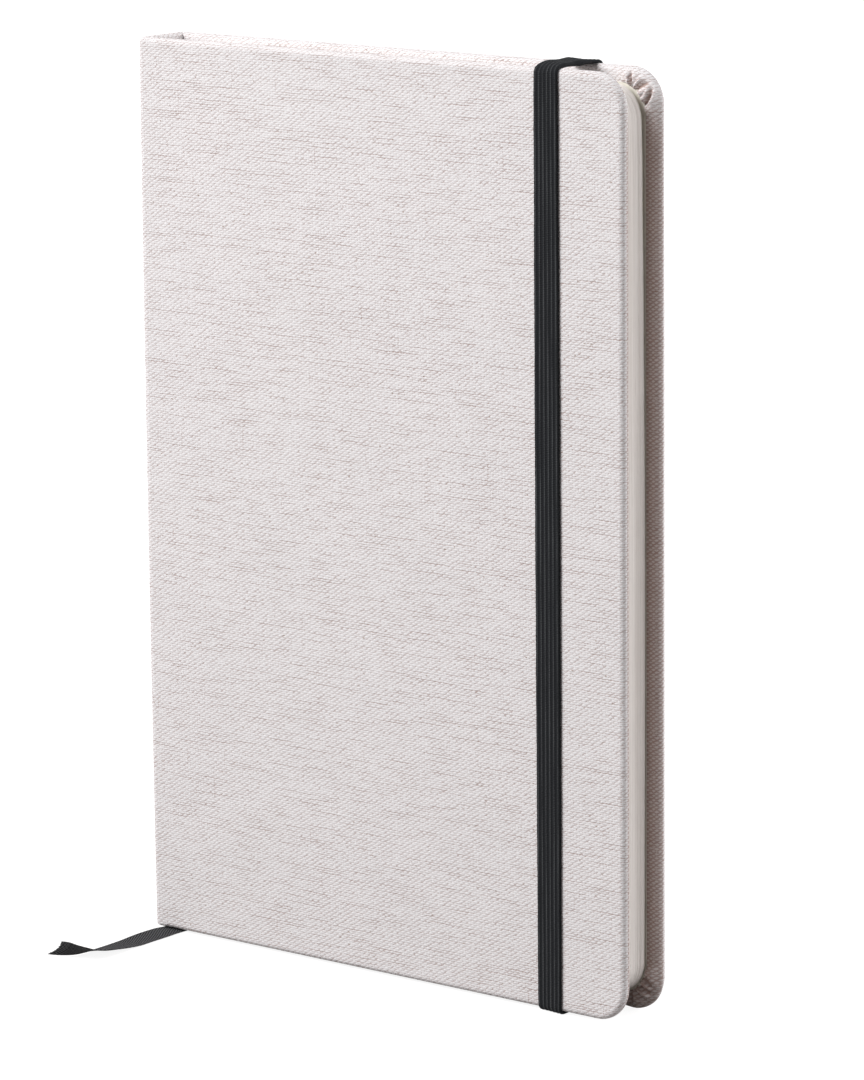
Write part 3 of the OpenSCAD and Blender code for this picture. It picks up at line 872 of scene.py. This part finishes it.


# %% [markdown]
# ## Canvas
# The cloth is a plain weave of thick, slightly uneven yarn: over, under, over, under. Two sets
# of slanting waves make such a chequerboard of raised yarns, and one is stronger because the
# yarn is twisted one way. The threads waver, some are thicker for a few millimetres, which
# weavers call slubs, and small dark bits of seed husk stay in natural, unbleached yarn.
# Turned in over the board it is painted a little browner and darker: painted shade for the
# recess beside the pages and for the valleys of the gathers.

# %% Canvas material
YARN_ACROSS, YARN_UP = 0.806, 0.526


def canvas():
    """With p and q in half yarns across and up, both moved a little by noise that is long
    along the yarn: the waves of (p - q) and of (p + q) together are a chequerboard of beads,
    each with a random height of its own, and the waves of 2p and 2q round them off. A dark
    line is noise along one gap between yarns, cut off at both yarns by the wave of 2q: it is
    painted shade in that gap. The pits between the beads are painted darker too, as shade."""
    material = finish("natural_canvas", 0.9, 0.2)
    u, v = flat_fields(material)
    painted_shade = flat_fields(material, "painted_shade")[0]
    sway = (noise(u * 0.45, v * 0.5, 12.0) - 0.5) * 0.7
    p = (u + (noise(u * 0.9, v * 0.1, 3.0) - 0.5) * 0.5 + sway * 0.5) * (0.5 / YARN_ACROSS)
    q = (v + (noise(u * 0.12, v * 0.8, 7.0) - 0.5) * 0.45 - sway * 0.4) * (0.5 / YARN_UP)
    crown = noise((p * 2.0).math("ROUND") * 3.7, (q * 2.0).math("ROUND") * 5.3, 2.0, 0.0)
    beads = ((p - q).wave() * 0.36 + (p + q).wave() * 0.26) * (crown * 1.6 + 0.2)
    columns, rows = (p * 2.0).wave(), (q * 2.0).wave()
    fuzz = noise(u * 3.0, v * 4.5, 23.0, 3.0)
    yarn = beads + columns * 0.14 + rows * 0.26
    row, column = (q * 2.0).math("FLOOR"), (p * 2.0).math("FLOOR")
    dotted = (yarn + (fuzz - 0.5) * 1.5).rise(0.5, -0.5)
    thin_row = noise(u * 0.09, row * 3.7, 5.0).rise(0.45, 0.72)
    thin_row = thin_row * rows.rise(0.5, -0.7) * dotted
    thin_column = noise(column * 3.7, v * 0.12, 9.0).rise(0.62, 0.8)
    thin_column = thin_column * columns.rise(0.5, -0.7) * dotted
    thick_row = noise(u * 0.1, (q * 2.0).math("ROUND") * 5.3, 15.0)
    cloudy = noise(u * 0.05, v * 0.07, 31.0, 3.0)
    # painted shade: the pits between the beads are darkened as the hollows of the weave would be
    # shaded, and more where shade is painted on the turned-in cloth
    pits = (yarn + (fuzz - 0.5) * 1.3 - painted_shade * 0.6).rise(0.0, -0.75)
    husks = noise(u * 1.1, v * 2.4, 41.0, 0.0).rise(0.775, 0.84)
    colour = shade(cloudy * 0.7 + thick_row * 0.4, (0.785, 0.767, 0.778), (0.85, 0.822, 0.83))
    colour = shade(pits * 0.85, colour, (0.36, 0.255, 0.235))
    # painted shade: dark lines in the gaps beside thin yarns
    colour = shade(thin_row * 0.75 + thin_column * 0.55, colour, (0.37, 0.265, 0.24))
    colour = shade(husks * 0.75, colour, (0.27, 0.17, 0.12))
    # painted shade: darker and browner on the turned-in cloth and in the gathers' valleys
    colour = shade(painted_shade * 0.75, colour, (0.36, 0.255, 0.215))
    height = yarn * 0.045 + thick_row * 0.015 - thin_row * 0.025 + fuzz * 0.05
    return surface(material, colour, height, 0.8)


canvas_finish = canvas()
for piece in (front_cloth, back_cloth, spine):
    dress(piece, canvas_finish)

# %% [markdown]
# ## Black elastic and ribbon
# The elastic is matt black: lengthwise ribs, closely wrapped by cross threads, with thin worn
# lines between the ribs. The ribbon is a soft twill, so its fine ridges run at a slant.

# %% Elastic and ribbon materials
def ribbed_black():
    """Ribs follow the width, cross threads the length, and both are broken up by noise."""
    material = finish("black_elastic", 0.9, 0.12)
    u, v = flat_fields(material)
    rib = (u * (RIBS / BAND_W)).wave()
    threads = (v * 2.6 + (noise(u * 1.5, v * 0.6, 2.0) - 0.5) * 0.8).wave()
    lint = noise(u * 6.0, v * 3.0, 5.0, 3.0)
    worn = noise(u * 1.2, v * 0.05, 8.0)
    lines = (rib * -1.0 + (lint - 0.5) * 0.8 + (worn - 0.5) * 1.4).rise(0.55, 1.1)
    colour = shade(lines * 0.8, (0.014, 0.015, 0.017), (0.075, 0.078, 0.082))
    colour = shade(lint.rise(0.62, 0.8) * 0.4, colour, (0.07, 0.07, 0.07))
    return surface(material, colour, threads * 0.03 + lint * 0.07)


def twill_black():
    """Slanting ridges: the wave of the place along less the place across, each scaled. Their
    crests are painted lighter, a painted highlight, and the lint's fuzz is paler too.
    """
    material = finish("black_twill_ribbon", 0.85, 0.15)
    u, v = flat_fields(material)
    ridge = (v * 0.86 - u * 1.66 + (noise(u * 0.7, v * 0.7, 1.0) - 0.5) * 0.4).wave()
    lint = noise(u * 5.0, v * 5.0, 5.0, 3.0)
    # painted highlight on the crests of the ridges, together with the lint's own paler fuzz
    light = (ridge * 0.8 + lint).rise(-0.2, 1.3)
    colour = shade(light, (0.006, 0.006, 0.007), (0.12, 0.12, 0.126))
    return surface(material, colour, ridge * 0.1 + lint * 0.05)


dress(band, ribbed_black())
twill = twill_black()
dress(ribbon_end, twill)
dress(ribbon_run, twill)

# %% [markdown]
# ## Paper, board and gauze
# The trimmed leaves are cream, with fine lines of slightly different tone. The endpapers are
# a plain uncoated paper. The boards inside the covers are grey board with flecks, and the
# lining of the spine is an open gauze. They are mostly hidden, but show when a cover opens.

# %% Paper, board and gauze materials
def leaf_edges():
    """On the trimmed edges v is the place across the leaves, so noise that is fine in v and
    long in u makes one line for each few leaves."""
    material = finish("trimmed_pages", 0.9, 0.2)
    u, v = flat_fields(material)
    leaf = noise(u * 0.01, v * 3.4, 3.0, 4.0)
    fine = noise(u * 0.05, v * 11.0, 9.0)
    light = (leaf + fine * 0.5).rise(0.45, 1.05)
    colour = shade(light, (0.76, 0.707, 0.672), (0.90, 0.855, 0.825))
    return surface(material, colour, leaf * 0.06 + fine * 0.03, 0.7)


def endpaper(name, fields):
    """Fibres: soft noise at two sizes."""
    material = finish(name, 0.85, 0.25)
    u, v = fields(material)
    cloud, fibre = noise(u * 0.08, v * 0.08, 1.0, 3.0), noise(u * 2.0, v * 2.0, 5.0, 4.0)
    colour = shade(cloud * 0.5 + fibre * 0.5, (0.80, 0.765, 0.68), (0.87, 0.84, 0.765))
    return surface(material, colour, fibre * 0.03, 0.5)


def greyboard():
    """Grey pulp with darker and lighter flecks."""
    material = finish("greyboard", 0.92, 0.2)
    x, y, z = place_fields(material)
    flecks, pulp = noise(x * 2.0, y * 4.0, z * 2.0, 4.0), noise(x * 0.3, y, z * 0.3, 3.0)
    colour = shade(flecks.rise(0.3, 0.7), (0.20, 0.185, 0.165), (0.34, 0.32, 0.29))
    colour = shade(pulp * 0.5, colour, (0.27, 0.25, 0.225))
    return surface(material, colour, flecks * 0.1)


def gauze():
    """Open mull: a square mesh of threads, one each 1.2 mm."""
    material = finish("mull_gauze", 0.9, 0.2)
    x, y, z = place_fields(material)
    mesh = (y * (1 / 1.2)).wave() * 0.5 + (z * (1 / 1.2)).wave() * 0.5 + noise(y, z, x) * 0.4
    colour = shade(mesh.rise(0.0, 0.7), (0.46, 0.40, 0.31), (0.82, 0.80, 0.74))
    return surface(material, colour, mesh * 0.08)


dress(pages, leaf_edges())
folded = endpaper("endpaper_stock_flat", flat_fields)
for piece in leaves + joint_papers:
    dress(piece, folded)
pasted = endpaper("endpaper_stock_place", lambda material: place_fields(material)[::2])
board, mull = greyboard(), gauze()
for material, names in (
        (pasted, ("front_pastedown", "back_pastedown", "front_flyleaf", "back_flyleaf")),
        (board, ("front_board", "back_board", "spine_board")), (mull, ("spine_lining",)),
        (pages.data.materials[0], ("page_block",)), (twill, ("ribbon_marker",)),
        (band.data.materials[0], ("elastic_band",)),
        (canvas_finish, ("front_cloth", "back_cloth", "spine_cloth"))):
    for node in names:
        dress(nodes[node], material)
print(len(bpy.data.materials), "finishes")

# %% [markdown]
# ## Floor and light
# The picture has a plain white ground and soft light. A large pale floor keeps the faint
# shadow. Seen straight by the camera, it adds some light of its own, which turns it white
# without lighting the book. A wide soft lamp stands at the front left, above the book. A
# weaker one lights the fore edge, a third one the back, and a faint sky fills the rest.

# %% Floor
def backdrop(sky=False):
    """Camera, mirror and glass rays see white, and all the others plain pale grey. White is
    the floor's own shading plus a glow, so the shadow stays in it. The glow grows from 0.3 m
    to 1.5 m away, where less of the lamps' light falls."""
    tree = bpy.data.worlds.new("studio") if sky else bpy.data.materials.new("pale_floor")
    tree.use_nodes = True
    nodes, links = tree.node_tree.nodes, tree.node_tree.links
    nodes.clear()
    path = nodes.new("ShaderNodeLightPath")
    camera_ray, mirror_ray, glass_ray = (
        Field(path.outputs[f"Is {kind} Ray"]) for kind in ("Camera", "Glossy", "Transmission"))
    seen = camera_ray.math("MAXIMUM", mirror_ray).math("MAXIMUM", glass_ray)
    pick = nodes.new("ShaderNodeMixShader")
    plug(pick.inputs[0], seen)
    end = nodes.new("ShaderNodeOutputWorld" if sky else "ShaderNodeOutputMaterial")
    links.new(pick.outputs[0], end.inputs["Surface"])
    if sky:
        for port, strength in ((1, SKY), (2, 1.0)):
            light = nodes.new("ShaderNodeBackground")
            light.inputs["Strength"].default_value = strength
            light.inputs["Color"].default_value = (1, 1, 1, 1)
            links.new(light.outputs[0], pick.inputs[port])
        return tree
    plain, glow, add = (
        nodes.new("ShaderNode" + kind) for kind in ("BsdfDiffuse", "Emission", "AddShader"))
    plain.inputs["Color"].default_value = (0.3, 0.29, 0.285, 1)
    x, y, _ = place_fields(tree)
    far_off = (x * x + y * y).rise(300.0**2, 1500.0**2)
    plug(glow.inputs["Strength"], far_off * 0.25 + FLOOR_GLOW)
    links.new(plain.outputs[0], add.inputs[0])
    links.new(glow.outputs[0], add.inputs[1])
    links.new(plain.outputs[0], pick.inputs[1])
    links.new(add.outputs[0], pick.inputs[2])
    return tree


SKY, FLOOR_GLOW = 0.05, 0.9
FLOOR_HALF, FLOOR_Z = 4.0, -5e-5
ground = bpy.data.meshes.new("floor")
ground.from_pydata([(x * FLOOR_HALF, y * FLOOR_HALF, FLOOR_Z)
                    for x, y in ((-1, -1), (1, -1), (1, 1), (-1, 1))], [], [(0, 1, 2, 3)])
floor = bpy.data.objects.new("floor", ground)
bpy.context.scene.collection.objects.link(floor)
floor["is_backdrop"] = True
dress(floor, backdrop())
bpy.context.scene.world = backdrop(sky=True)

# %% Lamps
BOOK_MIDDLE = (0, 0, 0.1)


def soft_lamp(name, place, size, watts):
    """A square lamp that faces the book."""
    lamp = bpy.data.objects.new(name, bpy.data.lights.new(name, "AREA"))
    lamp.data.size, lamp.data.energy = size, watts
    way = np.subtract(BOOK_MIDDLE, place)
    right = unit(np.cross(way, (0, 0, 1)))
    up = unit(np.cross(right, way))
    lamp.matrix_world = Matrix.Translation(place) @ Matrix(
        (right, up, -unit(way))).transposed().to_4x4()
    bpy.context.scene.collection.objects.link(lamp)


soft_lamp("key", (-0.7, -1.05, 1.15), 1.0, 36.5)
soft_lamp("side", (1.6, 0.4, 0.8), 0.9, 13)
soft_lamp("rear", (0.8, 1.3, 0.7), 1.0, 18)
bpy.context.scene.view_settings.view_transform = "Standard"

# %% Sizes and finish
full_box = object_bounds()
for title, box in (("CAD box", cad_box), ("visual box", full_box)):
    print(title, [[round(v, 4) for v in c] for c in box])
